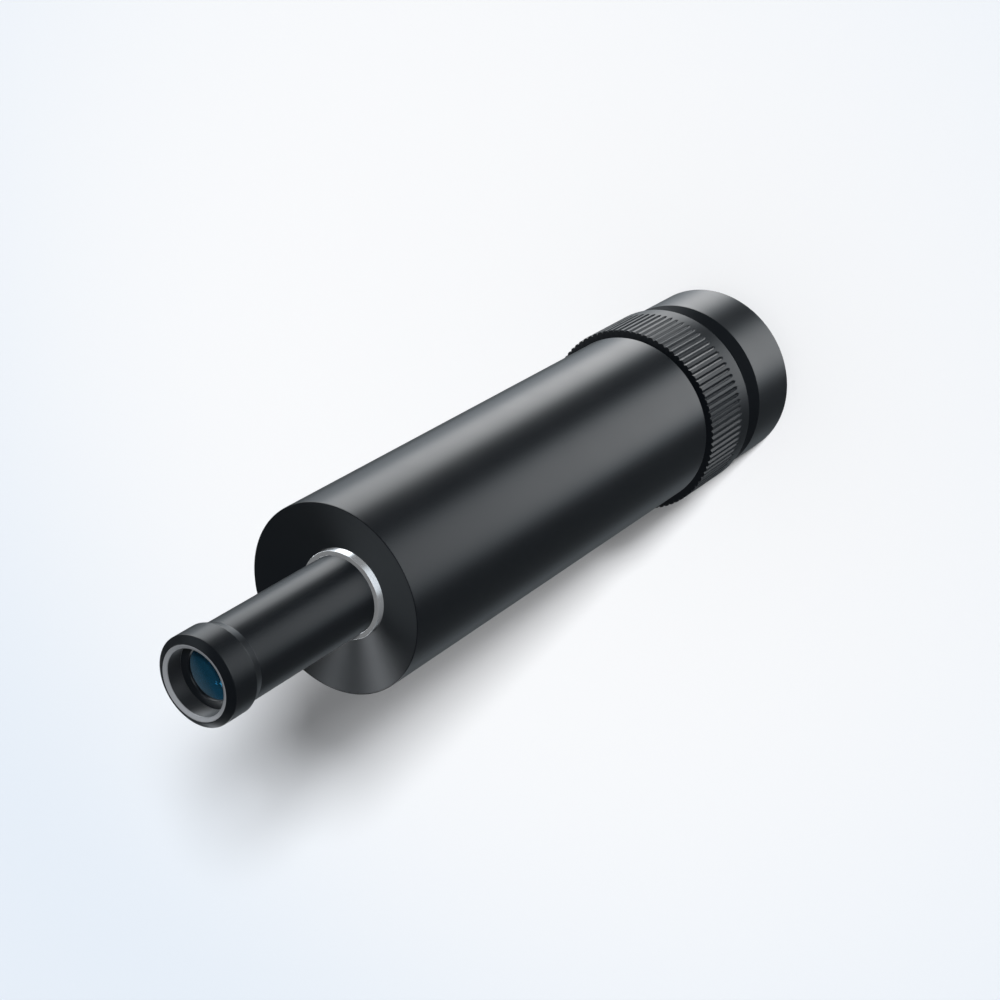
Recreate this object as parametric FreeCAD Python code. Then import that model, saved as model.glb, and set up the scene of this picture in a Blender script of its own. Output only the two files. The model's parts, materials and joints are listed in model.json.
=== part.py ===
import FreeCAD
import Part
import math
import os

from FreeCAD import Vector

# A telecentric lens that stands on its camera thread, nose up.
# The Z axis is the optical axis and z = 0 is the end of the camera thread.
# All sizes are in millimetres and all angles in degrees.

# Outside lengths along the axis, from the camera end to the nose
thread_length = 4.0
rear_barrel_length = 11.2
rear_cone_length = 1.53
groove_gap = 1.32
ring_length = 14.8
barrel_length = 82.85
nose_length = 29.95

# Radii, and the walls that stand on the neck of the main barrel
neck_radius = 13.9
shoulder_height = 1.1
ring_wall = 2.4
rear_barrel_wall = 1.85
thread_radius = 12.7
nose_radius = 6.2
nose_lip_height = 0.63
collar_wall = 0.75

# Clearances
fit_clearance = 0.02
running_clearance = 0.05
seat_clearance = 0.02
lens_clearance = 0.05

# How far a cutting shape stands out of what it cuts
cut_margin = 1.0

# Main barrel and its bores
cone_depth = 2.75
front_wall = 6.7
barrel_wall = 3.4
neck_wall = 1.0
iris_step = 0.5
iris_ledge_depth = 4.0

# Nose tube
lip_length = 4.95
lip_taper = 1.7
lip_chamfer = 0.75
lip_flat = 0.14
nose_wall = 0.9
nose_cell_depth = 21.65
nose_ledge = 0.7
nose_tail = 1.0

# Bright bezel in the nose's mouth
bezel_radius = 5.64
bezel_bore = 5.05
bezel_bevel = 0.24
bezel_length = 0.5

# Front retaining ring
front_ring_gap = 2.55
front_ring_rim = 0.18
front_ring_slope = 0.25
front_ring_thickness = 0.5
front_ring_wall = 1.28

# Lenses in the nose: edge thicknesses and radii of curvature
front_crown_edge = 0.8
front_crown_curve = 14.0
front_cement_curve = 9.5
front_flint_edge = 3.0
inner_lens_edge = 1.6
inner_lens_curve = 16.0
nose_spacer_wall = 0.75

# Collar and the nuts behind the front wall
collar_recess = 1.54
collar_flange = 2.0
flange_overlap = 1.4
lock_ring_thickness = 2.5
lock_ring_wall = 2.5
nose_nut_wall = 1.4
nose_nut_thickness = 3.0

# Stack of cell, baffles and spacer tubes in the main barrel
front_spacer_length = 28.5
spacer_wall = 1.0
baffle_thickness = 0.4
baffle_aperture = 8.0
stack_clamp_thickness = 2.2
stack_clamp_recess = 2.0
clamp_ring_wall = 1.8

# Middle lens cell
middle_cell_length = 14.0
middle_cell_wall = 1.6
middle_cell_lip = 1.5
middle_aperture = 8.8
middle_crown_edge = 1.5
middle_crown_curve = 30.0
middle_cement_curve = 22.0
middle_flint_edge = 4.0

# Rear lens cell
rear_cell_wall = 2.4
rear_cell_lip = 1.2
rear_aperture = 9.0
rear_crown_edge = 1.4
rear_crown_curve = 32.0
rear_cement_curve = 24.0
rear_flint_edge = 3.6
rear_clamp_thickness = 2.2
rear_clamp_recess = 0.8

# Retaining rings behind the doublets, and the slots for a spanner in every threaded ring
retainer_thickness = 2.0
retainer_wall = 1.6
spanner_slot_width = 1.2
spanner_slot_depth = 0.8

# Iris
blade_count = 6
aperture_radius = 7.0
ring_travel = 40.0
blade_travel = 20.0
pivot_rim = 2.4
pin_radius = 0.4
pin_clearance = 0.04
drive_pin_lag = 22.5
blade_thickness = 0.1
blade_pitch = 0.15
blade_sweep = 130.0
blade_head_radius = 1.3
blade_tail_radius = 0.8
strip_gap = 0.1
strip_overlap = 0.05
base_plate_thickness = 1.2
pivot_pin_depth = 0.8
cam_thickness = 2.4
cam_pin_depth = 1.4
cam_web = 1.2
thrust_ring_thickness = 0.9

# Drive pin that ties the cam ring to the fluted ring
key_pin_radius = 0.8
key_pin_grip = 1.7
keyway_depth = 1.0
keyway_end_gap = 0.1

# Fluted ring, its washer and its retainer
ring_taper = 1.95
ring_rear_radius = 15.02
flute_count = 88
flute_depth = 0.3
flute_width = 0.6
flute_length = 10.3
flute_run_out = 0.6
ring_washer_thickness = 0.3
ring_retainer_thickness = 1.4
ring_retainer_recess = 0.25
ring_retainer_wall = 0.6
ring_retainer_gap = 0.15

# Rear barrel and camera mount ring
rear_barrel_chamfer = 0.6
rear_barrel_land = 0.3
rear_floor = 1.5
mount_flange = 2.0
mount_bore = 11.2
thread_chamfer = 0.5
thread_relief_length = 0.8
thread_relief_depth = 0.6
mount_bore_chamfer = 0.4

# Outside radii
barrel_radius = neck_radius + shoulder_height
ring_radius = neck_radius + ring_wall
rear_barrel_radius = neck_radius + rear_barrel_wall
nose_lip_radius = nose_radius + nose_lip_height
collar_radius = nose_radius + collar_wall

# Places along the axis of the outside steps
z_flange = thread_length
z_rear_shoulder = z_flange + rear_barrel_length
z_rear_cone = z_rear_shoulder + rear_cone_length
z_ring_rear = z_rear_cone + groove_gap
z_ring_front = z_ring_rear + ring_length
z_barrel_front = z_ring_front + barrel_length
z_nose_front = z_barrel_front + nose_length

# Bores of the main barrel
chamber_radius = barrel_radius - barrel_wall
rear_bore = neck_radius - neck_wall
iris_bore = rear_bore - iris_step

# Places of the parts behind the front wall
z_wall_inside = z_barrel_front - front_wall
z_collar_rear = z_wall_inside - collar_flange
z_lock_ring_rear = z_collar_rear - lock_ring_thickness
z_nose_rear = z_collar_rear - nose_nut_thickness - nose_tail
nose_nut_radius = nose_radius + nose_nut_wall
stack_radius = chamber_radius - fit_clearance
lock_ring_bore = stack_radius - lock_ring_wall
collar_flange_radius = lock_ring_bore + flange_overlap

# Places of the stack in the main barrel
z_iris_ledge = z_ring_front - iris_ledge_depth
z_front_baffle = z_lock_ring_rear - front_spacer_length
z_middle_cell = z_front_baffle - baffle_thickness
z_rear_baffle = z_middle_cell - middle_cell_length
z_rear_spacer = z_rear_baffle - baffle_thickness
z_stack_clamp = z_iris_ledge + stack_clamp_recess + stack_clamp_thickness

# Places of the iris
z_cam_front = z_iris_ledge - thrust_ring_thickness - running_clearance
z_cam_rear = z_cam_front - cam_thickness
z_cam_middle = (z_cam_front + z_cam_rear) / 2
z_blades = z_cam_rear - blade_count * blade_pitch
z_base_front = z_blades - running_clearance
z_base_rear = z_base_front - base_plate_thickness
cam_radius = iris_bore - running_clearance
pivot_radius = iris_bore - pivot_rim
cam_bore = pivot_radius - pin_radius - cam_web
blade_ratio = blade_travel / ring_travel
blade_step = 360.0 / blade_count
slot_half_width = pin_radius + pin_clearance
strip_outer = pivot_radius - pin_radius - strip_gap
strip_inner = aperture_radius + strip_overlap

# Places of the rear parts
z_mount_flange = z_flange + rear_floor
z_neck_end = z_mount_flange + mount_flange
z_rear_clamp = z_neck_end + rear_clamp_recess
z_rear_cell_rear = z_rear_clamp + rear_clamp_thickness
rear_cell_radius = rear_bore - fit_clearance
rear_barrel_bore = neck_radius + fit_clearance

# Places in the fluted ring
z_ring_ledge = (
    z_ring_rear
    + ring_retainer_recess
    + ring_retainer_thickness
    + ring_washer_thickness
    + running_clearance
)
ring_retainer_radius = neck_radius + ring_retainer_wall
ring_counterbore = ring_retainer_radius + ring_retainer_gap
keyway_radius = neck_radius + keyway_depth


def sag(radius, curve):
    """Depth of a sphere of radius curve at a distance radius from its axis; 0 means a flat face."""
    if curve == 0:
        return 0.0
    rise = abs(curve) - math.sqrt(curve**2 - radius**2)
    return math.copysign(rise, curve)


def polar(radius, angle, z=0.0):
    turn = math.radians(angle)
    return Vector(radius * math.cos(turn), radius * math.sin(turn), z)


def turned(outline):
    """Solid of revolution round Z from a closed outline of (radius, z) corners."""
    corners = [Vector(radius, 0, z) for radius, z in outline]
    wire = Part.makePolygon(corners + corners[:1])
    return Part.Face(wire).revolve(Vector(0, 0, 0), Vector(0, 0, 1), 360)


def ring(outer, inner, z_low, z_high):
    return turned([(inner, z_low), (outer, z_low), (outer, z_high), (inner, z_high)])


def about_axis(shape, angle):
    copy = shape.copy()
    copy.rotate(Vector(0, 0, 0), Vector(0, 0, 1), angle)
    return copy


def spanner_ring(outer, inner, z_low, z_high):
    """Threaded ring with two slots across its rear face for a spanner."""
    slot = Part.makeBox(
        2 * (outer + cut_margin),
        spanner_slot_width,
        2 * spanner_slot_depth,
        Vector(-outer - cut_margin, -spanner_slot_width / 2, z_low - spanner_slot_depth),
    )
    return ring(outer, inner, z_low, z_high).cut(slot)


def lens(radius, z_vertex, edge, front_curve, rear_curve):
    """Lens element with its front vertex at z_vertex; a curve is positive where the face bulges."""
    front = sag(radius, front_curve)
    rear = sag(radius, rear_curve)
    z_front_edge = z_vertex - front
    z_rear_edge = z_front_edge - edge
    z_rear_vertex = z_rear_edge - rear

    def face_edge(z_centre, z_rim, curve):
        centre = Vector(0, 0, z_centre)
        rim = Vector(radius, 0, z_rim)
        if curve == 0:
            return Part.makeLine(centre, rim)
        half = radius / 2
        z_half = z_centre + (z_rim - z_centre) * sag(half, curve) / sag(radius, curve)
        return Part.Arc(centre, Vector(half, 0, z_half), rim).toShape()

    edges = [
        face_edge(z_vertex, z_front_edge, front_curve),
        Part.makeLine(Vector(radius, 0, z_front_edge), Vector(radius, 0, z_rear_edge)),
        face_edge(z_rear_vertex, z_rear_edge, rear_curve),
        Part.makeLine(Vector(0, 0, z_rear_vertex), Vector(0, 0, z_vertex)),
    ]
    wire = Part.Wire(Part.__sortEdges__(edges))
    return Part.Face(wire).revolve(Vector(0, 0, 0), Vector(0, 0, 1), 360)


def doublet(radius, z_seat, aperture, crown_edge, front_curve, cement_curve, flint_edge):
    """Crown and flint behind a seat edge of radius aperture at z_seat, and where their flat back is."""
    z_vertex = z_seat - seat_clearance + sag(aperture, front_curve)
    crown = lens(radius, z_vertex, crown_edge, front_curve, cement_curve)
    z_crown_edge = z_vertex - sag(radius, front_curve) - crown_edge
    z_flint_vertex = z_crown_edge - sag(radius, cement_curve) - seat_clearance
    flint = lens(radius, z_flint_vertex, flint_edge, -cement_curve, 0)
    z_back = z_flint_vertex + sag(radius, cement_curve) - flint_edge
    return crown, flint, z_back


# Main barrel

def make_main_barrel():
    z_shoulder = z_ring_front + running_clearance
    wall_hole = collar_radius + fit_clearance
    outline = [
        (rear_bore, z_neck_end),
        (neck_radius, z_neck_end),
        (neck_radius, z_shoulder),
        (barrel_radius, z_shoulder),
        (barrel_radius, z_barrel_front),
        (wall_hole, z_barrel_front - cone_depth),
        (wall_hole, z_wall_inside),
        (chamber_radius, z_wall_inside),
        (chamber_radius, z_iris_ledge),
        (iris_bore, z_iris_ledge),
        (iris_bore, z_base_front),
        (rear_bore, z_base_front),
    ]
    return turned(outline).cut(neck_slot())


def neck_slot():
    """Slot round the neck in which the drive pin travels; its round ends are the stops."""
    half = key_pin_radius + running_clearance
    inner = iris_bore - cut_margin
    outer = neck_radius + cut_margin
    band = Part.makeCylinder(
        outer, 2 * half, Vector(0, 0, z_cam_middle - half), Vector(0, 0, 1), ring_travel
    )
    band = band.cut(Part.makeCylinder(inner, 2 * half, Vector(0, 0, z_cam_middle - half)))
    slot = about_axis(band, key_pin_angle)
    for angle in (key_pin_angle, key_pin_angle + ring_travel):
        slot = slot.fuse(radial_pin(half, inner, outer, angle))
    return slot


def radial_pin(radius, inner, outer, angle):
    return Part.makeCylinder(radius, outer - inner, polar(inner, angle, z_cam_middle), polar(1, angle))


# Nose

nose_bore = nose_radius - nose_wall
nose_glass_radius = nose_bore - lens_clearance
front_ring_radius = nose_bore - fit_clearance
front_aperture = front_ring_radius - front_ring_wall
z_bezel_rear = z_nose_front - bezel_length
z_front_ring = z_bezel_rear - front_ring_gap
z_front_seat = z_front_ring - front_ring_slope - front_ring_thickness
z_nose_ledge = z_nose_front - nose_cell_depth


def make_nose_tube():
    z_lip_rear = z_nose_front - lip_length
    mouth = bezel_radius + fit_clearance
    rear_bore_of_nose = nose_bore - nose_ledge
    return turned([
        (rear_bore_of_nose, z_nose_rear),
        (nose_radius, z_nose_rear),
        (nose_radius, z_lip_rear - lip_taper),
        (nose_lip_radius, z_lip_rear),
        (nose_lip_radius, z_nose_front - lip_chamfer),
        (bezel_radius + lip_flat, z_nose_front),
        (mouth, z_nose_front),
        (mouth, z_bezel_rear),
        (nose_bore, z_bezel_rear),
        (nose_bore, z_nose_ledge),
        (rear_bore_of_nose, z_nose_ledge),
    ])


def make_front_bezel():
    return turned([
        (bezel_bore, z_bezel_rear),
        (bezel_radius, z_bezel_rear),
        (bezel_radius, z_nose_front),
        (bezel_bore, z_nose_front - bezel_bevel),
    ])


def make_front_retaining_ring():
    return turned([
        (front_aperture, z_front_seat),
        (front_ring_radius, z_front_seat),
        (front_ring_radius, z_front_ring - front_ring_rim),
        (front_ring_radius - front_ring_rim, z_front_ring),
        (front_aperture, z_front_ring - front_ring_slope),
    ])


def make_nose_optics():
    crown, flint, z_back = doublet(
        nose_glass_radius, z_front_seat, front_aperture,
        front_crown_edge, front_crown_curve, front_cement_curve, front_flint_edge,
    )
    spacer_bore = nose_bore - nose_spacer_wall
    z_inner_vertex = (
        z_nose_ledge + seat_clearance + inner_lens_edge + sag(nose_glass_radius, inner_lens_curve)
    )
    inner_lens = lens(nose_glass_radius, z_inner_vertex, inner_lens_edge, inner_lens_curve, 0)
    z_spacer_rear = z_inner_vertex - sag(spacer_bore, inner_lens_curve) + seat_clearance
    spacer = ring(nose_bore - fit_clearance, spacer_bore, z_spacer_rear, z_back - seat_clearance)
    return {
        "front_lens_crown": crown,
        "front_lens_flint": flint,
        "nose_spacer": spacer,
        "nose_inner_lens": inner_lens,
    }


# Collar and the nuts behind the front wall

def make_nose_collar():
    bore = nose_radius + fit_clearance
    return turned([
        (bore, z_collar_rear),
        (collar_flange_radius, z_collar_rear),
        (collar_flange_radius, z_wall_inside),
        (collar_radius, z_wall_inside),
        (collar_radius, z_barrel_front - collar_recess),
        (bore, z_barrel_front - collar_recess),
    ])


def make_collar_lock_ring():
    return spanner_ring(stack_radius, lock_ring_bore, z_lock_ring_rear, z_collar_rear)


def make_nose_lock_nut():
    bore = nose_radius + fit_clearance
    return spanner_ring(nose_nut_radius, bore, z_collar_rear - nose_nut_thickness, z_collar_rear)


# Stack in the main barrel

def make_spacer_tube(z_low, z_high):
    return ring(stack_radius, stack_radius - spacer_wall, z_low, z_high)


def make_baffle(z_low):
    return ring(stack_radius, baffle_aperture, z_low, z_low + baffle_thickness)


def make_cell(outer, wall, lip, aperture, z_rear, z_front):
    bore = outer - wall
    return turned([
        (bore, z_rear),
        (outer, z_rear),
        (outer, z_front),
        (aperture, z_front),
        (aperture, z_front - lip),
        (bore, z_front - lip),
    ])


def make_retaining_ring(outer, z_glass_back):
    z_front = z_glass_back - seat_clearance
    return spanner_ring(outer, outer - retainer_wall, z_front - retainer_thickness, z_front)


def make_middle_group():
    bore = stack_radius - middle_cell_wall
    cell = make_cell(
        stack_radius, middle_cell_wall, middle_cell_lip, middle_aperture, z_rear_baffle, z_middle_cell
    )
    crown, flint, z_back = doublet(
        bore - lens_clearance, z_middle_cell - middle_cell_lip, middle_aperture,
        middle_crown_edge, middle_crown_curve, middle_cement_curve, middle_flint_edge,
    )
    return {
        "middle_lens_cell": cell,
        "middle_lens_crown": crown,
        "middle_lens_flint": flint,
        "middle_retaining_ring": make_retaining_ring(bore - fit_clearance, z_back),
    }


def make_stack_clamp_ring():
    z_low = z_stack_clamp - stack_clamp_thickness
    return spanner_ring(stack_radius, stack_radius - clamp_ring_wall, z_low, z_stack_clamp)


# Iris

def blade_pin_place(ring_turn):
    """Where a blade's drive pin is when the fluted ring has turned by ring_turn."""
    pivot = polar(pivot_radius, 0)
    arm = polar(pivot_radius, -drive_pin_lag) - pivot
    turn = math.radians(ring_turn * blade_ratio)
    turned_arm = Vector(
        arm.x * math.cos(turn) - arm.y * math.sin(turn),
        arm.x * math.sin(turn) + arm.y * math.cos(turn),
        0,
    )
    return pivot + turned_arm


def cam_path_place(ring_turn):
    """The same place as the turning cam ring sees it."""
    place = blade_pin_place(ring_turn)
    angle = math.degrees(math.atan2(place.y, place.x)) - ring_turn
    return polar(place.Length, angle)


def cam_slot_ends():
    start = cam_path_place(0)
    end = cam_path_place(ring_travel)
    return [math.degrees(math.atan2(place.y, place.x)) for place in (start, end)]


def key_pin_place():
    """Middle of the web between two cam slots, where the drive pin is screwed in."""
    slot_start, slot_end = cam_slot_ends()
    return (slot_start + slot_end + blade_step) / 2 + blade_step


key_pin_angle = key_pin_place()


def cam_slot():
    """Slot that leads a drive pin from the open to the closed iris, as wide as the pin and its gap."""
    steps = 8
    turn_step = ring_travel / steps
    path = [cam_path_place(turn_step * step) for step in range(steps + 1)]
    nudge = turn_step / 100

    def across(step):
        before = cam_path_place(turn_step * step - nudge)
        after = cam_path_place(turn_step * step + nudge)
        along = (after - before).normalize()
        return Vector(-along.y, along.x, 0) * slot_half_width

    offsets = [across(step) for step in range(steps + 1)]
    sides = []
    for sign in (1, -1):
        curve = Part.BSplineCurve()
        curve.interpolate([place + offset * sign for place, offset in zip(path, offsets)])
        sides.append(curve.toShape())
    caps = []
    for step, sign in ((0, 1), (steps, -1)):
        offset = offsets[step]
        tip = path[step] + Vector(-offset.y, offset.x, 0) * sign
        caps.append(Part.Arc(path[step] + offset, tip, path[step] - offset).toShape())
    wire = Part.Wire(Part.__sortEdges__(sides + caps))
    slot = Part.Face(wire).extrude(Vector(0, 0, cam_thickness + 2 * cut_margin))
    slot.translate(Vector(0, 0, z_cam_rear - cut_margin))
    return slot


def make_iris_cam_ring():
    cam = ring(cam_radius, cam_bore, z_cam_rear, z_cam_front)
    slot = cam_slot()
    for number in range(blade_count):
        cam = cam.cut(about_axis(slot, blade_step * number))
    inner = cam_radius - key_pin_grip
    hole_inner = inner - seat_clearance
    hole_outer = cam_radius + cut_margin
    hole = radial_pin(key_pin_radius + fit_clearance, hole_inner, hole_outer, key_pin_angle)
    return cam.cut(hole)


def make_iris_drive_pin():
    return radial_pin(
        key_pin_radius, cam_radius - key_pin_grip, keyway_radius - keyway_end_gap, key_pin_angle
    )


def make_iris_thrust_ring():
    return ring(iris_bore - fit_clearance, cam_bore, z_cam_front + running_clearance, z_iris_ledge)


def band(inner, outer, start, sweep, z_low, height):
    """Flat arc-shaped strip."""
    place = Vector(0, 0, z_low)
    strip = Part.makeCylinder(outer, height, place, Vector(0, 0, 1), sweep)
    strip = strip.cut(Part.makeCylinder(inner, height, place))
    return about_axis(strip, start)


def make_iris_blade(number):
    """One blade at its own level, with a pivot pin behind it and a drive pin before it."""
    z_low = z_blades + blade_pitch * number
    z_top = z_low + blade_thickness
    strip_half = (strip_outer - strip_inner) / 2
    strip_middle = (strip_outer + strip_inner) / 2

    def disc(radius, place):
        return Part.makeCylinder(radius, blade_thickness, place)

    pivot = polar(pivot_radius, 0)
    drive = polar(pivot_radius, -drive_pin_lag)
    lift = Vector(0, 0, z_low)
    blade = disc(blade_head_radius, pivot + lift)
    blade = blade.fuse(band(strip_inner, strip_outer, 0, blade_sweep, z_low, blade_thickness))
    blade = blade.fuse(disc(strip_half, polar(strip_middle, 0) + lift))
    blade = blade.fuse(disc(strip_half, polar(strip_middle, blade_sweep) + lift))
    tail_inner = pivot_radius - blade_tail_radius
    tail_outer = pivot_radius + blade_tail_radius
    blade = blade.fuse(
        band(tail_inner, tail_outer, -drive_pin_lag, drive_pin_lag, z_low, blade_thickness)
    )
    blade = blade.fuse(disc(blade_tail_radius, drive + lift))
    z_pivot_end = z_base_front - pivot_pin_depth
    pivot_pin = Part.makeCylinder(pin_radius, z_top - z_pivot_end, pivot + Vector(0, 0, z_pivot_end))
    drive_pin = Part.makeCylinder(pin_radius, z_cam_rear + cam_pin_depth - z_low, drive + lift)
    blade = blade.fuse(pivot_pin).fuse(drive_pin).removeSplitter()
    return about_axis(blade, blade_step * number)


def make_iris_base_plate():
    plate = ring(rear_cell_radius, aperture_radius, z_base_rear, z_base_front)
    for number in range(blade_count):
        foot = polar(pivot_radius, blade_step * number, z_base_rear - cut_margin)
        depth = base_plate_thickness + 2 * cut_margin
        hole = Part.makeCylinder(pin_radius + pin_clearance, depth, foot)
        plate = plate.cut(hole)
    return plate


# Fluted ring, its washer and its retainer

def make_knurled_ring():
    bore = neck_radius + running_clearance
    body = turned([
        (ring_counterbore, z_ring_rear),
        (ring_rear_radius, z_ring_rear),
        (ring_radius, z_ring_rear + ring_taper),
        (ring_radius, z_ring_front),
        (bore, z_ring_front),
        (bore, z_ring_ledge),
        (ring_counterbore, z_ring_ledge),
    ])
    return body.cut(keyway()).cut(Part.makeCompound(flutes()))


def keyway():
    """Groove along the ring's bore, open to the rear, that slides over the drive pin."""
    half = key_pin_radius + fit_clearance
    z_top = z_cam_middle + key_pin_radius + running_clearance
    z_low = z_ring_ledge - cut_margin
    inner = neck_radius - cut_margin
    groove = Part.makeBox(keyway_radius - inner, 2 * half, z_top - z_low, Vector(inner, -half, z_low))
    return about_axis(groove, key_pin_angle)


def flutes():
    """V-shaped cutters round the ring; each rises out of the ring where its flute runs out."""
    bottom = ring_radius - flute_depth
    top = ring_radius + flute_depth
    z_run_out = z_ring_front - flute_length + flute_run_out
    corners = [
        Vector(bottom, 0, z_run_out),
        Vector(top, flute_width, z_run_out),
        Vector(top, -flute_width, z_run_out),
    ]
    section = Part.Face(Part.makePolygon(corners + corners[:1]))
    groove = section.extrude(Vector(0, 0, flute_length))
    run_out = section.extrude(Vector(2 * flute_depth, 0, -2 * flute_run_out))
    cutter = groove.fuse(run_out).removeSplitter()
    return [about_axis(cutter, 360.0 / flute_count * number) for number in range(flute_count)]


def make_ring_washer():
    z_high = z_ring_ledge - running_clearance
    bore = neck_radius + fit_clearance
    return ring(ring_retainer_radius, bore, z_high - ring_washer_thickness, z_high)


def make_ring_retainer():
    z_low = z_ring_rear + ring_retainer_recess
    bore = neck_radius + fit_clearance
    return spanner_ring(ring_retainer_radius, bore, z_low, z_low + ring_retainer_thickness)


# Rear lens cell, rear barrel and camera mount ring

def make_rear_group():
    bore = rear_cell_radius - rear_cell_wall
    cell = make_cell(
        rear_cell_radius, rear_cell_wall, rear_cell_lip, rear_aperture, z_rear_cell_rear, z_base_rear
    )
    crown, flint, z_back = doublet(
        bore - lens_clearance, z_base_rear - rear_cell_lip, rear_aperture,
        rear_crown_edge, rear_crown_curve, rear_cement_curve, rear_flint_edge,
    )
    return {
        "rear_lens_cell": cell,
        "rear_lens_crown": crown,
        "rear_lens_flint": flint,
        "rear_retaining_ring": make_retaining_ring(bore - fit_clearance, z_back),
    }


def make_rear_clamp_ring():
    inner = rear_cell_radius - clamp_ring_wall
    return spanner_ring(rear_cell_radius, inner, z_rear_clamp, z_rear_cell_rear)


def make_rear_barrel():
    land = rear_barrel_bore + rear_barrel_land
    hole = thread_radius + fit_clearance
    return turned([
        (hole, z_flange),
        (rear_barrel_radius - rear_barrel_chamfer, z_flange),
        (rear_barrel_radius, z_flange + rear_barrel_chamfer),
        (rear_barrel_radius, z_rear_shoulder),
        (land, z_rear_cone),
        (rear_barrel_bore, z_rear_cone),
        (rear_barrel_bore, z_mount_flange),
        (hole, z_mount_flange),
    ])


def make_c_mount_ring():
    flange_radius = rear_barrel_bore - fit_clearance
    relief_radius = thread_radius - thread_relief_depth
    return turned([
        (mount_bore + mount_bore_chamfer, 0),
        (thread_radius - thread_chamfer, 0),
        (thread_radius, thread_chamfer),
        (thread_radius, z_flange - thread_relief_length),
        (relief_radius, z_flange - thread_relief_length),
        (relief_radius, z_flange),
        (thread_radius, z_flange),
        (thread_radius, z_mount_flange),
        (flange_radius, z_mount_flange),
        (flange_radius, z_neck_end),
        (mount_bore, z_neck_end),
        (mount_bore, mount_bore_chamfer),
    ])


def make_all():
    parts = {
        "main_barrel": make_main_barrel(),
        "nose_tube": make_nose_tube(),
        "front_bezel": make_front_bezel(),
        "front_retaining_ring": make_front_retaining_ring(),
        "nose_collar": make_nose_collar(),
        "collar_lock_ring": make_collar_lock_ring(),
        "nose_lock_nut": make_nose_lock_nut(),
        "front_spacer_tube": make_spacer_tube(z_front_baffle, z_lock_ring_rear),
        "front_baffle": make_baffle(z_middle_cell),
        "rear_baffle": make_baffle(z_rear_spacer),
        "rear_spacer_tube": make_spacer_tube(z_stack_clamp, z_rear_spacer),
        "stack_clamp_ring": make_stack_clamp_ring(),
        "iris_thrust_ring": make_iris_thrust_ring(),
        "iris_cam_ring": make_iris_cam_ring(),
        "iris_drive_pin": make_iris_drive_pin(),
        "iris_base_plate": make_iris_base_plate(),
        "knurled_ring": make_knurled_ring(),
        "ring_washer": make_ring_washer(),
        "ring_retainer": make_ring_retainer(),
        "rear_clamp_ring": make_rear_clamp_ring(),
        "rear_barrel": make_rear_barrel(),
        "c_mount_ring": make_c_mount_ring(),
    }
    parts.update(make_nose_optics())
    parts.update(make_middle_group())
    parts.update(make_rear_group())
    for number in range(blade_count):
        parts[f"iris_blade_{number + 1}"] = make_iris_blade(number)
    return parts


os.makedirs("parts", exist_ok=True)
for name, shape in make_all().items():
    shape.exportStep(f"parts/{name}.step")
    print(name, len(shape.Solids), shape.isValid(), round(shape.Volume, 3))
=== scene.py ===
import json
import math

import bpy
from mathutils import Matrix, Vector


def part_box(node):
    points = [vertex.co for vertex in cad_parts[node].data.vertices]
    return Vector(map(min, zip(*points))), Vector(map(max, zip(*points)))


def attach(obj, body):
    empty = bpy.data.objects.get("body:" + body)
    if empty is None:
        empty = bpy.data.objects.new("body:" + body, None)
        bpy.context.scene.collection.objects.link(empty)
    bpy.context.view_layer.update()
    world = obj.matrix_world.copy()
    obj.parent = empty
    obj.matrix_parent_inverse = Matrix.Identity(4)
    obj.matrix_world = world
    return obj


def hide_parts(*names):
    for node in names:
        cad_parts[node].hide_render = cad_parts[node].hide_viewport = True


# The looks of a telecentric lens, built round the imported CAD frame.
# Lengths are in metres unless a value is multiplied by mm, and Z is the optical axis.

mm = 0.001

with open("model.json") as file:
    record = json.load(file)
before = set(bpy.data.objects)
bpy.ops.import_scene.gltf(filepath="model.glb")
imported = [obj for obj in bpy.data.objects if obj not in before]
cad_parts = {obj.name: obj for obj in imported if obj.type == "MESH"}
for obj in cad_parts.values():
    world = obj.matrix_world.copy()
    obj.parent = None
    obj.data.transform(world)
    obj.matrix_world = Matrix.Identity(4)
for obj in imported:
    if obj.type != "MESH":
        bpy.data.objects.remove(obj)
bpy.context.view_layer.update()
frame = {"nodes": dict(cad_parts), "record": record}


def top(node):
    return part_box(node)[1].z


def bottom(node):
    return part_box(node)[0].z


def radius_of(node):
    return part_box(node)[1].x


# Camera at the photograph's viewing angle

camera_place = Vector((-0.0955, -221.09, 325.69)) * mm
camera_right = Vector((-0.51648, -0.64418, -0.56416))
camera_up = Vector((0.85630, -0.38854, -0.34028))
camera_lens = 75.795
camera_sensor = 36.0

camera_data = bpy.data.cameras.new("camera")
camera_data.lens = camera_lens
camera_data.sensor_width = camera_sensor
camera_data.clip_start = 0.01
camera_data.clip_end = 50.0
camera = bpy.data.objects.new("camera", camera_data)
bpy.context.scene.collection.objects.link(camera)
camera_back = camera_right.cross(camera_up)
camera.matrix_world = Matrix.Translation(camera_place) @ Matrix((
    (camera_right.x, camera_up.x, camera_back.x, 0),
    (camera_right.y, camera_up.y, camera_back.y, 0),
    (camera_right.z, camera_up.z, camera_back.z, 0),
    (0, 0, 0, 1),
))
bpy.context.scene.camera = camera
bpy.context.scene.view_settings.view_transform = "Standard"


# Node trees

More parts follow.
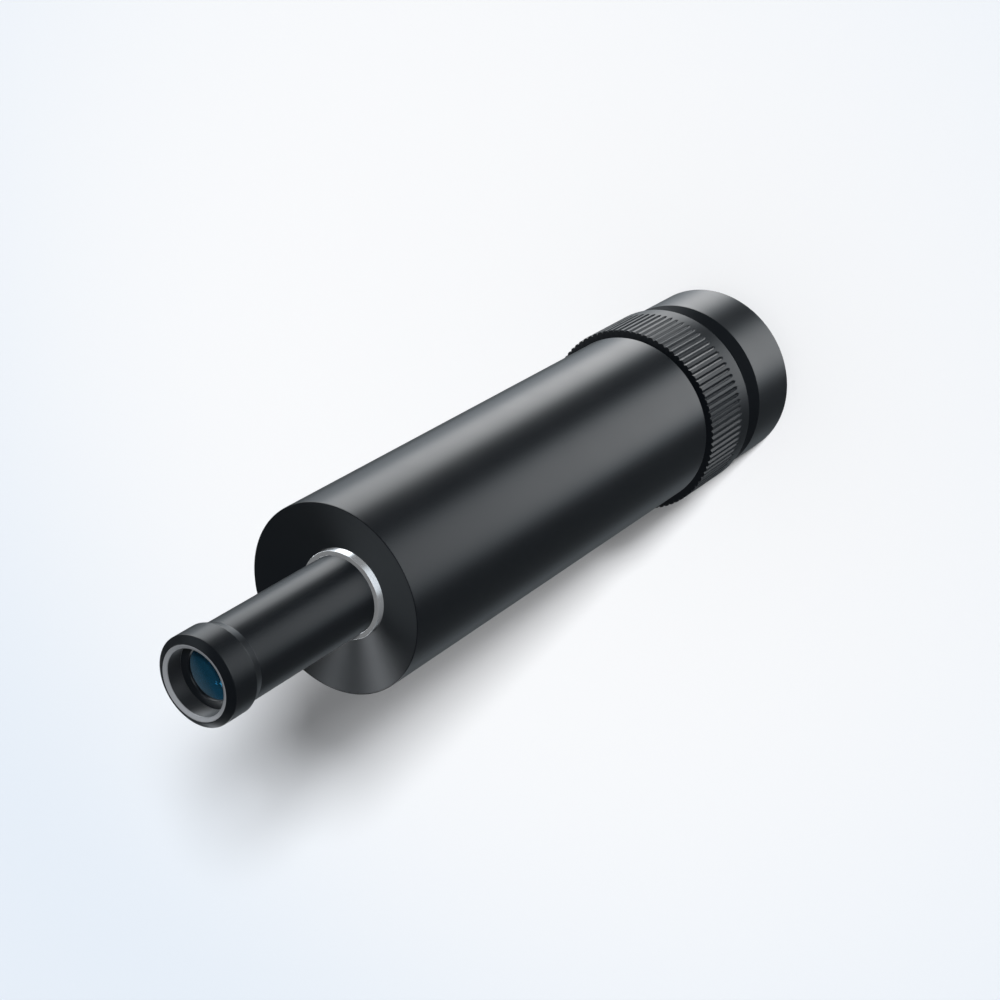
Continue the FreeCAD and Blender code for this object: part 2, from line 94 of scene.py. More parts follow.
class Tree:
    """Short calls that add nodes to a tree and join them."""

    def __init__(self, tree):
        self.tree = tree
        self.nodes = tree.nodes
        self.nodes.clear()

    def add(self, kind, **settings):
        node = self.nodes.new(kind)
        for name, value in settings.items():
            setattr(node, name, value)
        return node

    def feed(self, socket, value):
        if isinstance(value, bpy.types.NodeSocket):
            self.tree.links.new(value, socket)
        else:
            socket.default_value = value

    def math(self, operation, *values):
        node = self.add("ShaderNodeMath", operation=operation)
        for socket, value in zip(node.inputs, values):
            self.feed(socket, value)
        return node.outputs[0]

    def total(self, first, *others):
        for other in others:
            first = self.math("ADD", first, other)
        return first

    def mixed(self, first, second, share):
        """The first value times its share, plus the second times the rest."""
        return self.total(
            self.math("MULTIPLY", first, share), self.math("MULTIPLY", second, 1 - share))

    def vector(self, operation, *values):
        node = self.add("ShaderNodeVectorMath", operation=operation)
        for socket, value in zip(node.inputs, values):
            self.feed(socket, value)
        return node.outputs["Value" if operation in ("LENGTH", "DOT_PRODUCT") else "Vector"]

    def combine(self, x, y, z):
        node = self.add("ShaderNodeCombineXYZ")
        for socket, value in zip(node.inputs, (x, y, z)):
            self.feed(socket, value)
        return node.outputs[0]

    def separate(self, vector):
        node = self.add("ShaderNodeSeparateXYZ")
        self.feed(node.inputs[0], vector)
        return node.outputs

    def span(self, value, low, high, to_low=0.0, to_high=1.0, smooth=True):
        node = self.add("ShaderNodeMapRange")
        node.interpolation_type = "SMOOTHERSTEP" if smooth else "LINEAR"
        for socket, given in zip(node.inputs, (value, low, high, to_low, to_high)):
            self.feed(socket, given)
        return node.outputs[0]

    def noise(self, vector, scale, detail, roughness):
        node = self.add("ShaderNodeTexNoise")
        self.feed(node.inputs["Vector"], vector)
        node.inputs["Scale"].default_value = scale
        node.inputs["Detail"].default_value = detail
        node.inputs["Roughness"].default_value = roughness
        return node.outputs[0]

    def blend(self, factor, first, second):
        node = self.add("ShaderNodeMix", data_type="RGBA")
        self.feed(node.inputs["Factor"], factor)
        self.feed(node.inputs["A"], first)
        self.feed(node.inputs["B"], second)
        return node.outputs["Result"]

    def bump(self, height, distance, normal=None):
        node = self.add("ShaderNodeBump")
        node.inputs["Strength"].default_value = 1.0
        node.inputs["Distance"].default_value = distance
        self.feed(node.inputs["Height"], height)
        if normal is not None:
            self.feed(node.inputs["Normal"], normal)
        return node.outputs[0]


def rgb(red, green, blue):
    return (red, green, blue, 1.0)


# Materials

# Noises: how fine each is, and the part of its range in which it mostly lies
groove_scale = 9000.0
grain_scale = 16000.0
cloud_scale = 160.0
mottle_scale = 900.0
uneven_low = 0.25
uneven_high = 0.75
mottle_low = 0.3
mottle_high = 0.7

# How much the clouding counts against the rings in a metal's tone, and the grain in its finish
cloud_share = 0.7
grain_share = 0.5

# Matt walls inside the nose
matt_paint = (0.0085, 0.0095, 0.011)
matt_roughness = 0.34
matt_fade = 0.1 * mm

# Glass
glass_roughness = 0.02
glass_unevenness = 0.5
glass_ior = 1.52
tint_shift = 0.1


def new_material(name):
    material = bpy.data.materials.new(name)
    material.use_nodes = True
    tree = Tree(material.node_tree)
    shader = tree.add("ShaderNodeBsdfPrincipled")
    output = tree.add("ShaderNodeOutputMaterial")
    material.node_tree.links.new(shader.outputs[0], output.inputs["Surface"])
    return material, tree, shader


def turned_coordinates(tree):
    """Radius and height only, so that a texture on them makes the rings that turning leaves."""
    place = tree.add("ShaderNodeTexCoord").outputs["Object"]
    x, y, z = tree.separate(place)
    radius = tree.vector("LENGTH", tree.combine(x, y, 0.0))
    return place, radius, tree.combine(radius, 0.0, z)


def metal_surface(name, light, dark, roughness, spread, metallic, ior,
                  groove_depth, grain_depth, matt_within=0.0):
    """Turned metal: fine rings from the tool, a grain from the finish, and slow clouding of tone.

    Nearer to the axis than matt_within, the walls have a matt finish."""
    material, tree, shader = new_material(name)
    place, radius, turned = turned_coordinates(tree)
    rings = tree.noise(turned, groove_scale, detail=3.0, roughness=0.6)
    grain = tree.noise(place, grain_scale, detail=2.0, roughness=0.6)
    cloud = tree.noise(place, cloud_scale, detail=3.0, roughness=0.55)
    colour = tree.blend(tree.mixed(cloud, rings, cloud_share), rgb(*dark), rgb(*light))
    finish = tree.span(
        tree.mixed(grain, cloud, grain_share), uneven_low, uneven_high,
        roughness - spread, roughness + spread, smooth=False)
    if matt_within > 0:
        inside = tree.span(radius, matt_within, matt_within - matt_fade)
        colour = tree.blend(inside, colour, rgb(*matt_paint))
        finish = tree.math("MAXIMUM", finish, tree.math("MULTIPLY", inside, matt_roughness))
    tree.feed(shader.inputs["Base Color"], colour)
    tree.feed(shader.inputs["Roughness"], finish)
    normal = tree.bump(rings, groove_depth)
    normal = tree.bump(grain, grain_depth, normal=normal)
    tree.feed(shader.inputs["Normal"], normal)
    shader.inputs["Metallic"].default_value = metallic
    shader.inputs["IOR"].default_value = ior
    return material


def glass_surface(name, tint, body, clearness=1.0, gloss=0.5):
    """Coated glass: the tint colours what it reflects, and tint and finish are faintly mottled."""
    material, tree, shader = new_material(name)
    place = tree.add("ShaderNodeTexCoord").outputs["Object"]
    mottle = tree.noise(place, mottle_scale, detail=2.0, roughness=0.5)
    finish = tree.span(
        mottle, mottle_low, mottle_high, glass_roughness * (1 - glass_unevenness),
        glass_roughness * (1 + glass_unevenness), smooth=False)
    red, green, blue = tint
    shifted = rgb(red * (1 + tint_shift), green * (1 - tint_shift), blue)
    tree.feed(shader.inputs["Roughness"], finish)
    tree.feed(shader.inputs["Specular Tint"], tree.blend(mottle, rgb(*tint), shifted))
    shader.inputs["Base Color"].default_value = rgb(*body)
    shader.inputs["Transmission Weight"].default_value = clearness
    shader.inputs["Specular IOR Level"].default_value = gloss
    shader.inputs["IOR"].default_value = glass_ior
    return material


def black_surface(name, roughness=0.3, ior=1.55, groove_depth=0.12e-6, grain_depth=0.05e-6,
                  matt_within=0.0):
    """Black anodised metal, for the barrels, the nose and the rings."""
    return metal_surface(
        name, light=(0.0026, 0.0034, 0.0046), dark=(0.0015, 0.0021, 0.0030),
        roughness=roughness, spread=0.03, metallic=0.0, ior=ior,
        groove_depth=groove_depth, grain_depth=grain_depth, matt_within=matt_within)


satin_black = black_surface("satin_black_anodised")
fluted_black = black_surface(
    "fluted_black_anodised", roughness=0.4, groove_depth=0.08e-6, grain_depth=0.06e-6)
matt_black = metal_surface(
    "matt_black_inside", light=(0.0062, 0.0068, 0.0078), dark=(0.0034, 0.0038, 0.0046),
    roughness=0.62, spread=0.05, metallic=0.0, ior=1.45,
    groove_depth=0.4e-6, grain_depth=0.2e-6)
collar_metal = metal_surface(
    "bright_collar_metal", light=(0.90, 0.91, 0.925), dark=(0.76, 0.77, 0.785),
    roughness=0.16, spread=0.04, metallic=0.82, ior=1.5,
    groove_depth=0.8e-6, grain_depth=0.1e-6)
bezel_metal = metal_surface(
    "satin_bezel_metal", light=(0.25, 0.26, 0.275), dark=(0.20, 0.21, 0.225),
    roughness=0.42, spread=0.05, metallic=0.2, ior=1.5,
    groove_depth=0.25e-6, grain_depth=0.08e-6)
mount_metal = metal_surface(
    "mount_ring_metal", light=(0.05, 0.052, 0.056), dark=(0.03, 0.032, 0.036),
    roughness=0.3, spread=0.04, metallic=0.6, ior=1.5,
    groove_depth=0.25e-6, grain_depth=0.08e-6)
steel = metal_surface(
    "ground_steel", light=(0.56, 0.56, 0.57), dark=(0.42, 0.42, 0.43),
    roughness=0.28, spread=0.05, metallic=1.0, ior=1.5,
    groove_depth=0.2e-6, grain_depth=0.08e-6)
blade_steel = metal_surface(
    "blackened_spring_steel", light=(0.06, 0.06, 0.065), dark=(0.035, 0.035, 0.04),
    roughness=0.42, spread=0.05, metallic=0.8, ior=1.5,
    groove_depth=0.1e-6, grain_depth=0.1e-6)
bearing_plastic = metal_surface(
    "bearing_plastic", light=(0.75, 0.74, 0.7), dark=(0.66, 0.65, 0.61),
    roughness=0.45, spread=0.05, metallic=0.0, ior=1.5,
    groove_depth=0.3e-6, grain_depth=0.2e-6)
blue_glass = glass_surface(
    "blue_coated_glass", tint=(0.12, 0.75, 1.0), body=(0.035, 0.235, 0.42), clearness=0.92,
    gloss=0.1)
clear_glass = glass_surface("clear_glass", tint=(0.8, 0.9, 1.0), body=(0.96, 0.98, 0.98))
rear_glass = glass_surface("rear_coated_glass", tint=(0.35, 0.8, 0.6), body=(0.93, 0.97, 0.95))

slot_materials = {
    "satin_black": satin_black,
    "matt_black": matt_black,
    "bright_bezel": bezel_metal,
    "bright_collar": collar_metal,
    "mount_ring": mount_metal,
    "steel": steel,
    "blade_steel": blade_steel,
    "thrust_ring": bearing_plastic,
    "glass": clear_glass,
    "blue_coated_glass": blue_glass,
    "coated_rear_glass": rear_glass,
}

# The CAD nodes take the material of their slot, and all but the glass show in the gloss of others
slot_of = {row["node"]: row["material_slot"] for row in frame["record"]["subparts"]}

for node_name, node_object in frame["nodes"].items():
    node_object.data.materials.clear()
    node_object.data.materials.append(slot_materials[slot_of[node_name]])
    node_object.visible_glossy = "glass" not in slot_of[node_name]


# Meshes

fine_turn = 256
crease_angle = math.radians(32)
normal_weight = 50

# Rounded corners, and the turn and size below which a corner stays as it is
fillet_steps = 4
edge_fillet = 0.12 * mm
small_fillet = 0.06 * mm
edge_share = 0.45
least_turn = 1e-4
least_fillet = 1e-9

# Clearances between pieces that are fixed, and between pieces that move
fit = 0.02 * mm
running = 0.05 * mm


def rounded(outline):
    """Outline of (radius, z) corners, counter-clockwise, with each corner rounded by a small curve.

    A corner may carry its own fillet as a third number, and no curve takes half of an edge."""
    count = len(outline)
    points = []
    for index, corner in enumerate(outline):
        here = Vector(corner[:2])
        before = here - Vector(outline[index - 1][:2])
        after = Vector(outline[(index + 1) % count][:2]) - here
        wanted = corner[2] if len(corner) > 2 else small_fillet
        turn = before.angle_signed(after)
        half = math.tan(abs(turn) / 2)
        back = min(wanted * half, before.length * edge_share, after.length * edge_share)
        if half < least_turn or back < least_fillet:
            points.append(tuple(here))
            continue
        start = here - before.normalized() * back
        end = here + after.normalized() * back
        for step in range(fillet_steps + 1):
            share = step / fillet_steps
            blend = start.lerp(here, share).lerp(here.lerp(end, share), share)
            points.append(tuple(blend))
    return points


def divided(points, z_values, radius_above):
    """Adds a point on each rising outer edge of the outline at each given height."""
    made = []
    for index, point in enumerate(points):
        made.append(point)
        follow = points[(index + 1) % len(points)]
        if follow[1] <= point[1] or min(point[0], follow[0]) < radius_above:
            continue
        for z in z_values:
            if point[1] < z < follow[1]:
                share = (z - point[1]) / (follow[1] - point[1])
                made.append((point[0] + (follow[0] - point[0]) * share, z))
    return made


def lathe(name, points, angles, shift=None):
    """Closed ring-shaped mesh from an outline turned through the given angles.

    shift(radius, angle, z) gives how far a point moves out from the outline."""
    vertices = []
    for angle in angles:
        for radius, z in points:
            moved = radius + (shift(radius, angle, z) if shift else 0.0)
            vertices.append((moved * math.cos(angle), moved * math.sin(angle), z))
    rows = len(points)
    faces = []
    for turn in range(len(angles)):
        here = turn * rows
        there = (turn + 1) % len(angles) * rows
        for row in range(rows):
            above = (row + 1) % rows
            faces.append((here + row, there + row, there + above, here + above))
    mesh = bpy.data.meshes.new(name)
    mesh.from_pydata(vertices, [], faces)
    mesh.update()
    return mesh


def even_angles(count):
    return [2 * math.pi * number / count for number in range(count)]


def turned_mesh(name, outline):
    return lathe(name, rounded(outline), even_angles(fine_turn))


def without(mesh, cutter):
    """The mesh with the cutter's volume taken away."""
    body, tool = (bpy.data.objects.new(part.name, part) for part in (mesh, cutter))
    for part in (body, tool):
        bpy.context.scene.collection.objects.link(part)
    cut = body.modifiers.new("cut", "BOOLEAN")
    cut.solver = "EXACT"
    cut.object = tool
    graph = bpy.context.evaluated_depsgraph_get()
    result = bpy.data.meshes.new_from_object(body.evaluated_get(graph))
    for part in (body, tool):
        bpy.data.objects.remove(part)
    return result


def block(name, sections):
    """Closed mesh through four-cornered sections that follow one another."""
    vertices = [corner for section in sections for corner in section]
    last = len(vertices) - 4
    faces = [(3, 2, 1, 0), tuple(range(last, last + 4))]
    for start in range(0, last, 4):
        for side in range(4):
            after = (side + 1) % 4
            faces.append((start + side, start + after, start + 4 + after, start + 4 + side))
    mesh = bpy.data.meshes.new(name)
    mesh.from_pydata(vertices, [], faces)
    return mesh


def piece(name, mesh, material, body, *nodes, in_gloss=False):
    """Object for a mesh that stands for CAD nodes.

    Each corner is shaded by the size of the faces round it, so that flat faces look flat."""
    made = bpy.data.objects.new(name, mesh)
    bpy.context.scene.collection.objects.link(made)
    mesh.materials.append(material)
    mesh.shade_smooth()
    mesh.set_sharp_from_angle(angle=crease_angle)
    weighted = made.modifiers.new("weighted", "WEIGHTED_NORMAL")
    weighted.mode = "FACE_AREA"
    weighted.weight = normal_weight
    weighted.keep_sharp = True
    made.visible_glossy = in_gloss
    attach(made, body)
    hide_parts(*nodes)


# Main barrel

neck_radius = 13.9 * mm
neck_bore = 12.9 * mm
iris_bore = 12.4 * mm
barrel_wall = 3.4 * mm
front_wall = 6.7 * mm
cone_depth = 2.75 * mm
iris_ledge_depth = 4.0 * mm
collar_radius = 6.95 * mm

barrel_radius = radius_of("main_barrel")
z_barrel_front = top("main_barrel")
z_barrel_rear = bottom("main_barrel")
z_ring_front = top("knurled_ring")
z_ring_rear = bottom("knurled_ring")
z_base_front = top("iris_base_plate")
wall_hole = collar_radius + fit
chamber_radius = barrel_radius - barrel_wall

barrel_outline = [
    (neck_bore, z_barrel_rear),
    (neck_radius, z_barrel_rear),
    (neck_radius, z_ring_front + running),
    (barrel_radius, z_ring_front + running, edge_fillet),
    (barrel_radius, z_barrel_front, edge_fillet),
    (wall_hole, z_barrel_front - cone_depth, small_fillet),
    (wall_hole, z_barrel_front - front_wall),
    (chamber_radius, z_barrel_front - front_wall),
    (chamber_radius, z_ring_front - iris_ledge_depth),
    (iris_bore, z_ring_front - iris_ledge_depth),
    (iris_bore, z_base_front),
    (neck_bore, z_base_front),
]
barrel_mesh = turned_mesh("barrel_body", barrel_outline)

# Slot round the neck, in which the drive pin travels between round ends
ring_travel = math.radians(40)
cut_margin = 1.0 * mm
slot_steps = 40
slot_tip = 0.1

pin_low, pin_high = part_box("iris_drive_pin")
pin_middle = (pin_low + pin_high) / 2
pin_angle = math.atan2(pin_middle.y, pin_middle.x)
pin_radius = (pin_high.z - pin_low.z) / 2


def neck_slot():
    """Cutter for the slot. At the very ends, the share slot_tip of its height is left."""
    half = pin_radius + running
    end = half / neck_radius
    sections = []
    for step in range(slot_steps + 1):
        angle = -end + (ring_travel + 2 * end) * step / slot_steps
        beyond = max(-angle, angle - ring_travel, 0.0) / end
        rise = half * math.sqrt(max(1 - beyond ** 2, slot_tip ** 2))
        turn = pin_angle + angle
        corners = [
            (iris_bore - cut_margin, -rise), (neck_radius + cut_margin, -rise),
            (neck_radius + cut_margin, rise), (iris_bore - cut_margin, rise),
        ]
        sections.append([
            (radius * math.cos(turn), radius * math.sin(turn), pin_middle.z + height)
            for radius, height in corners
        ])
    return block("neck_slot", sections)


piece("barrel_body", without(barrel_mesh, neck_slot()), satin_black, "barrel", "main_barrel")


# Nose tube

nose_radius = 6.2 * mm
nose_bore = 5.3 * mm
nose_rear_bore = 4.6 * mm
nose_cell_depth = 21.65 * mm
lip_length = 4.95 * mm
lip_taper = 1.7 * mm
lip_chamfer = 0.75 * mm
lip_flat = 0.14 * mm
lip_fillet = 0.2 * mm

lip_radius = radius_of("nose_tube")
z_nose_front = top("nose_tube")
z_nose_rear = bottom("nose_tube")
z_bezel_rear = bottom("front_bezel")
bezel_radius = radius_of("front_bezel")
z_lip_rear = z_nose_front - lip_length

nose_outline = [
    (nose_rear_bore, z_nose_rear),
    (nose_radius, z_nose_rear),
    (nose_radius, z_lip_rear - lip_taper, lip_fillet),
    (lip_radius, z_lip_rear, lip_fillet),
    (lip_radius, z_nose_front - lip_chamfer, lip_fillet),
    (bezel_radius + lip_flat, z_nose_front, small_fillet),
    (bezel_radius + fit, z_nose_front, small_fillet),
    (bezel_radius + fit, z_bezel_rear),
    (nose_bore, z_bezel_rear),
    (nose_bore, z_nose_front - nose_cell_depth),
    (nose_rear_bore, z_nose_front - nose_cell_depth),
]
nose_black = black_surface("nose_black_anodised", matt_within=(nose_bore + nose_radius) / 2)
nose_mesh = turned_mesh("nose_body", nose_outline)
piece("nose_body", nose_mesh, nose_black, "barrel", "nose_tube")


# Bright bezel in the nose's mouth

bezel_bore = 5.05 * mm
bezel_bevel = 0.24 * mm

bezel_outline = [
    (bezel_bore, z_bezel_rear),
    (bezel_radius, z_bezel_rear),
    (bezel_radius, top("front_bezel")),
    (bezel_bore, top("front_bezel") - bezel_bevel),
]
bezel_mesh = turned_mesh("mouth_bezel", bezel_outline)
piece("mouth_bezel", bezel_mesh, bezel_metal, "barrel", "front_bezel")


# Front retaining ring with its sloped face

front_aperture = 4.0 * mm
front_ring_rim = 0.18 * mm
front_ring_slope = 0.25 * mm

z_front_ring = top("front_retaining_ring")
front_ring_radius = radius_of("front_retaining_ring")
front_ring_outline = [
    (front_aperture, bottom("front_retaining_ring")),
    (front_ring_radius, bottom("front_retaining_ring")),
    (front_ring_radius, z_front_ring - front_ring_rim),
    (front_ring_radius - front_ring_rim, z_front_ring),
    (front_aperture, z_front_ring - front_ring_slope, edge_fillet),
]
front_ring_mesh = turned_mesh("mouth_ring", front_ring_outline)
piece("mouth_ring", front_ring_mesh, satin_black, "barrel", "front_retaining_ring")


# Bright collar round the nose

collar_recess = 1.54 * mm
collar_bore = nose_radius + fit
flange_radius = radius_of("nose_collar")
z_flange_front = z_barrel_front - front_wall

collar_outline = [
    (collar_bore, bottom("nose_collar")),
    (flange_radius, bottom("nose_collar")),
    (flange_radius, z_flange_front),
    (collar_radius, z_flange_front),
    (collar_radius, z_barrel_front - collar_recess),
    (collar_bore, z_barrel_front - collar_recess),
]
collar_mesh = turned_mesh("collar_bush", collar_outline)
piece("collar_bush", collar_mesh, collar_metal, "barrel", "nose_collar")


# Rear barrel

rear_cone_length = 1.53 * mm
rear_chamfer = 0.6 * mm
rear_land = 0.3 * mm
rear_floor = 1.5 * mm
thread_radius = 12.7 * mm

rear_radius = radius_of("rear_barrel")
rear_bore = neck_radius + fit
z_flange = bottom("rear_barrel")
z_rear_cone = top("rear_barrel")
rear_outline = [
    (thread_radius + fit, z_flange),
    (rear_radius - rear_chamfer, z_flange, edge_fillet),
    (rear_radius, z_flange + rear_chamfer, edge_fillet),
    (rear_radius, z_rear_cone - rear_cone_length, edge_fillet),
    (rear_bore + rear_land, z_rear_cone, edge_fillet),
    (rear_bore, z_rear_cone),
    (rear_bore, z_flange + rear_floor),
    (thread_radius + fit, z_flange + rear_floor),
]
rear_black = black_surface("rear_black_anodised", roughness=0.34, ior=1.64)
rear_mesh = turned_mesh("rear_body", rear_outline)
piece("rear_body", rear_mesh, rear_black, "barrel", "rear_barrel", in_gloss=True)


# Camera mount ring with its fine thread

thread_pitch = 25.4 / 32 * mm
thread_depth = 0.47 * mm
thread_rows = 14
thread_chamfer = 0.5 * mm
relief_length = 0.8 * mm
relief_depth = 0.6 * mm

# Half the groove's width in pitches, how far down its flanks the flat root lies, the slope at which
# it runs out at the relief, and the share of the chamfer that it cuts
groove_half_width = 0.44
groove_root = 0.88
groove_run_out = 2.0
groove_reach = 0.99

mount_flange_radius = radius_of("c_mount_ring")
mount_bore = 11.2 * mm
mount_bore_chamfer = 0.4 * mm
z_mount_flange = z_flange + rear_floor
z_thread_end = z_flange - relief_length

mount_outline = [
    (mount_bore + mount_bore_chamfer, 0),
    (thread_radius - thread_chamfer, 0),
    (thread_radius, thread_chamfer),
    (thread_radius, z_thread_end),
    (thread_radius - relief_depth, z_thread_end),
    (thread_radius - relief_depth, z_flange),
    (thread_radius, z_flange),
    (thread_radius, z_mount_flange),
    (mount_flange_radius, z_mount_flange),
    (mount_flange_radius, top("c_mount_ring")),
    (mount_bore, top("c_mount_ring")),
    (mount_bore, mount_bore_chamfer),
]


def thread_shift(radius, angle, z):
    """Depth of the thread's groove, V-shaped with a flat root, that fades out at the relief."""
    if radius < thread_radius - thread_chamfer * groove_reach or not 0 < z < z_thread_end:
        return 0.0
    phase = (z / thread_pitch - angle / (2 * math.pi)) % 1.0
    ramp = 1 - abs(phase - 0.5) / groove_half_width
    groove = thread_depth * min(max(ramp, 0.0), groove_root) / groove_root
    groove = min(groove, (z_thread_end - z) * groove_run_out)
    return min(0.0, thread_radius - groove - radius)


thread_step = thread_pitch / thread_rows
thread_heights = [
    thread_step * number for number in range(1, int(z_thread_end / thread_step) + 1)
]
mount_points = divided(rounded(mount_outline), thread_heights, mount_bore)
mount_mesh = lathe("camera_thread", mount_points, even_angles(fine_turn), thread_shift)
piece("camera_thread", mount_mesh, mount_metal, "barrel", "c_mount_ring")


# Fluted ring

ring_rear_radius = 15.02 * mm
ring_taper = 1.95 * mm
flute_count = 88
flute_depth = 0.3 * mm
flute_half_width = 0.3 * mm
flute_length = 10.3 * mm
flute_run_out = 0.6 * mm
flute_bottom = 0.03 * mm
flute_edge = 0.012 * mm

# Rows of points where the flutes run out, and how far they reach past the run-out's length
run_out_rows = 10
run_out_reach = 1.1

ring_bore = neck_radius + running
counterbore = 14.65 * mm
keyway_depth = 1.0 * mm
z_ring_ledge = top("ring_washer") + running
ring_radius = radius_of("knurled_ring")
flute_angle = 2 * math.pi / flute_count

# Stations across a flute, in half widths from its bottom: closer at the bottom and at the edge
flute_stations = (0.0, 0.08, 0.2, 0.45, 0.75, 0.9, 0.97, 1.03, 1.12, 1.3)

z_run_out = z_ring_front - flute_length + flute_run_out


def flute_shift(radius, angle, z):
    """Depth of the flutes, V-shaped with a rounded bottom, that rise to a point at the rear."""
    if radius < (ring_rear_radius + ring_bore) / 2:
        return 0.0
    off = (angle / flute_angle + 0.5) % 1.0 - 0.5
    across = abs(off) * flute_angle * ring_radius
    slope = flute_depth / flute_half_width
    side = math.hypot(across, flute_bottom) - flute_bottom
    rise = max(0.0, z_run_out - z) * flute_depth / flute_run_out
    deep = flute_depth - slope * side - rise
    outside = ring_radius - radius
    deep = (deep + math.hypot(deep, flute_edge)) / 2
    return -max(0.0, deep - outside)


def flute_angles():
    """Angles of the stations on both sides of each flute, and halfway to the next flute."""
    edge = flute_half_width / (flute_angle * ring_radius)
    shares = [edge * part for part in flute_stations]
    both = sorted({-share for share in shares[1:]} | set(shares) | {0.5})
    return [flute_angle * (number + share) for number in range(flute_count) for share in both]


ring_outline = [
    (counterbore, z_ring_rear),
    (ring_rear_radius, z_ring_rear),
    (ring_radius, z_ring_rear + ring_taper, edge_fillet),
    (ring_radius, z_ring_front, flute_edge),
    (ring_bore, z_ring_front),
    (ring_bore, z_ring_ledge),
    (counterbore, z_ring_ledge),
]
run_out_heights = [
    z_run_out - flute_run_out * run_out_reach * (1 - number / run_out_rows)
    for number in range(run_out_rows + 1)
]
ring_points = divided(rounded(ring_outline), run_out_heights, ring_rear_radius)
ring_mesh = lathe("fluted_grip", ring_points, flute_angles(), flute_shift)


def keyway():
    """Cutter for the groove in the ring's bore, open to the rear, that slides over the drive pin."""
    half = pin_radius + fit
    outwards = Vector((math.cos(pin_angle), math.sin(pin_angle), 0))
    across = Vector((-outwards.y, outwards.x, 0)) * half
    inner = outwards * (neck_radius - cut_margin)
    outer = outwards * (neck_radius + keyway_depth)
    ends = (z_ring_ledge - cut_margin, pin_high.z + running)
    return block("keyway", [
        [tuple(corner + Vector((0, 0, z)))
         for corner in (inner - across, outer - across, outer + across, inner + across)]
        for z in ends
    ])


piece("fluted_grip", without(ring_mesh, keyway()), fluted_black, "fluted_ring", "knurled_ring")


# Floor: it doesn't show in the lens's gloss, and its colour is a painted pool of light that fades to a
# darker far colour, a painted falloff of light

floor_radius = 6.0
floor_sides = 96
# Painted pool of light: the floor's colour is lightest round this centre and darkens out to the far
# colour, which is painted falloff of light
painted_pool_centre = (0.02, 0.05, 0.0)
painted_pool_inner = 0.03
painted_pool_outer = 0.25
painted_pool_colour = rgb(0.862, 0.872, 0.888)
painted_falloff_colour = rgb(0.72, 0.78, 0.853)
floor_roughness = 0.9

floor_mesh = bpy.data.meshes.new("floor")
floor_mesh.from_pydata(
    [(floor_radius * math.cos(a), floor_radius * math.sin(a), 0.0) for a in even_angles(floor_sides)],
    [],
    [tuple(range(floor_sides))],
)
floor = bpy.data.objects.new("floor", floor_mesh)
bpy.context.scene.collection.objects.link(floor)
floor.visible_glossy = False
floor.visible_shadow = False

floor_material, floor_tree, floor_shader = new_material("pale_floor")
floor_place = floor_tree.add("ShaderNodeTexCoord").outputs["Object"]
painted_pool_distance = floor_tree.vector(
    "LENGTH", floor_tree.vector("SUBTRACT", floor_place, painted_pool_centre))
# Painted pool of light and its painted falloff, mixed by the distance from the pool's centre
painted_pool_share = floor_tree.span(painted_pool_distance, painted_pool_inner, painted_pool_outer)
floor_tree.feed(
    floor_shader.inputs["Base Color"], floor_tree.blend(painted_pool_share, painted_pool_colour, painted_falloff_colour))
floor_shader.inputs["Roughness"].default_value = floor_roughness
floor_shader.inputs["Specular IOR Level"].default_value = 0.0
floor_mesh.materials.append(floor_material)


# Soft lights: three throw the shadow and leave the gloss alone, two show in gloss and glass only

nose_tip = Vector((0, 0, z_nose_front))
face_colour = (0.90, 0.95, 1.0)


def soft_light(name, towards, strength, angle, in_gloss, colour=(1.0, 1.0, 1.0)):
    """Distant round light of an angle, which shines from the nose's tip towards a point."""
    data = bpy.data.lights.new(name, "SUN")
    data.energy = strength
    data.color = colour
    data.angle = math.radians(angle)
    light = bpy.data.objects.new(name, data)
    bpy.context.scene.collection.objects.link(light)
    light.rotation_mode = "QUATERNION"
    light.rotation_quaternion = (Vector(towards) - nose_tip).to_track_quat("-Z", "Y")
    light.visible_glossy = in_gloss
    light.visible_transmission = in_gloss
    light.visible_diffuse = not in_gloss


soft_light("key", (-0.031, 0.191, 0.0), strength=3.4, angle=7, in_gloss=False)
soft_light("second_key", (-0.018, 0.197, 0.0), strength=1.24, angle=5, in_gloss=False)
soft_light("overhead", (0.0, 0.0, 0.0), strength=0.7, angle=150, in_gloss=False)
soft_light(
    "face_light", nose_tip - Vector((0.43, 0.69, 0.58)), strength=0.22, angle=14, in_gloss=True,
    colour=face_colour)
soft_light(
    "second_face_light", nose_tip - Vector((0.374, 0.351, 0.858)), strength=0.12, angle=8,
    in_gloss=True, colour=face_colour)


# Studio round the lens: wide soft lights in its gloss, given by direction, and a plain backdrop

main_azimuth = 6
shoulder_azimuth = 38
side_azimuth = -99
edge_azimuth = 131
backdrop = rgb(0.80, 0.871, 0.947)
dim_colour = rgb(0.82, 0.92, 1.0)
bright_colour = rgb(0.98, 0.99, 1.0)

world = bpy.data.worlds.new("studio")
bpy.context.scene.world = world
world.use_nodes = True
world.cycles_visibility.diffuse = False
world.cycles.sampling_method = "NONE"
sky = Tree(world.node_tree)
direction = sky.add("ShaderNodeTexCoord").outputs["Generated"]
east, north, height = sky.separate(direction)
level = sky.vector("NORMALIZE", sky.combine(east, north, 0.0))


def round_glow(seen_from, aim, strength, half_width, softness):
    """Glow round an aim, which fades over the softness on either side of the half width, in degrees."""
    facing = sky.vector("DOT_PRODUCT", seen_from, tuple(Vector(aim).normalized()))
    outer = math.cos(math.radians(half_width + softness))
    inner = math.cos(math.radians(half_width - softness))
    return sky.span(facing, outer, inner, 0.0, strength)


def upright_glow(azimuth, strength, half_width=12, softness=12):
    """Glow that is the same at every height."""
    turn = math.radians(azimuth)
    return round_glow(level, (math.cos(turn), math.sin(turn), 0.0), strength, half_width, softness)


def dimmed(glow, low, high, at_low, at_high):
    """The glow times a factor that changes between two heights."""
    return sky.math("MULTIPLY", glow, sky.span(height, low, high, at_low, at_high))


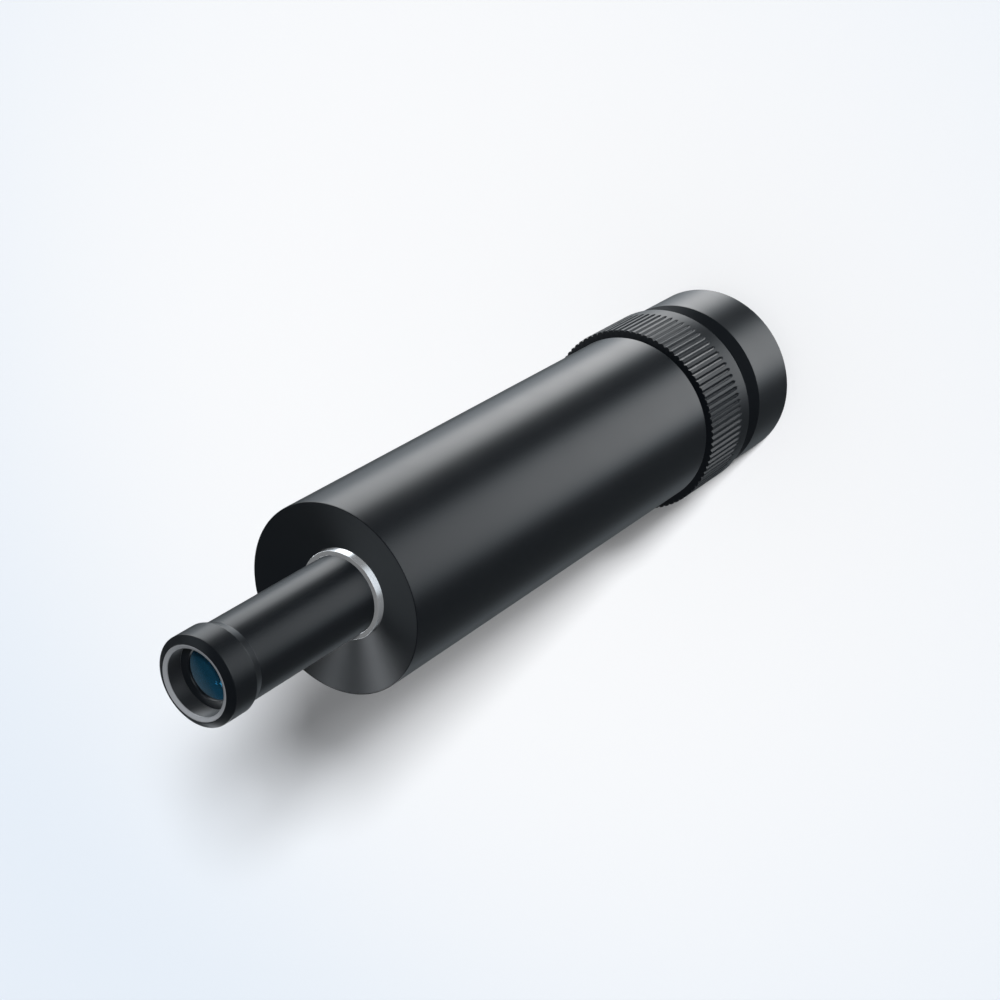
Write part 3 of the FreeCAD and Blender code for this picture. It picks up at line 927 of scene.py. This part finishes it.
# Strips that the camera sees in the lens from above
main_strip = dimmed(
    upright_glow(main_azimuth, strength=3.8, half_width=17, softness=11),
    low=-1.0, high=-0.3, at_low=1.06, at_high=0.1)
main_shoulder = dimmed(
    upright_glow(shoulder_azimuth, strength=0.75),
    low=-1.0, high=-0.3, at_low=1.06, at_high=0.1)
side_strip = dimmed(
    upright_glow(side_azimuth, strength=2.1, half_width=24, softness=25),
    low=-1.0, high=-0.6, at_low=2.6, at_high=0.02)
edge_strip = dimmed(
    upright_glow(edge_azimuth, strength=0.19, half_width=11, softness=12),
    low=-0.9, high=0.1, at_low=1.0, at_high=0.4)
strips = dimmed(
    sky.total(main_strip, main_shoulder, side_strip, edge_strip),
    low=-0.97, high=-0.80, at_low=0.1, at_high=1.0)

# Strips that a camera near the floor sees in it
level_strips = sky.total(
    upright_glow(main_azimuth, strength=3.4),
    upright_glow(side_azimuth, strength=2.2),
    upright_glow(edge_azimuth, strength=2.6))
level_strips = dimmed(level_strips, low=-0.56, high=-0.42, at_low=0.0, at_high=1.0)
level_strips = dimmed(level_strips, low=-0.08, high=0.08, at_low=1.0, at_high=0.0)

back_glow = round_glow(direction, (0.0, 0.97, 0.2), strength=0.25, half_width=12, softness=12)
base = sky.span(height, low=-0.5, high=0.5, to_low=0.10, to_high=0.05)
total = sky.total(strips, level_strips, back_glow, base)
tone = sky.span(total, low=0.3, high=4.0)
colour = sky.blend(tone, dim_colour, bright_colour)
lit = sky.add("ShaderNodeBackground")
sky.feed(lit.inputs["Color"], colour)
sky.feed(lit.inputs["Strength"], total)
plain = sky.add("ShaderNodeBackground")
plain.inputs["Color"].default_value = backdrop
seen = sky.add("ShaderNodeLightPath").outputs["Is Camera Ray"]
mixed = sky.add("ShaderNodeMixShader")
sky.feed(mixed.inputs[0], seen)
sky.feed(mixed.inputs[1], lit.outputs[0])
sky.feed(mixed.inputs[2], plain.outputs[0])
world_output = sky.add("ShaderNodeOutputWorld")
sky.feed(world_output.inputs["Surface"], mixed.outputs[0])
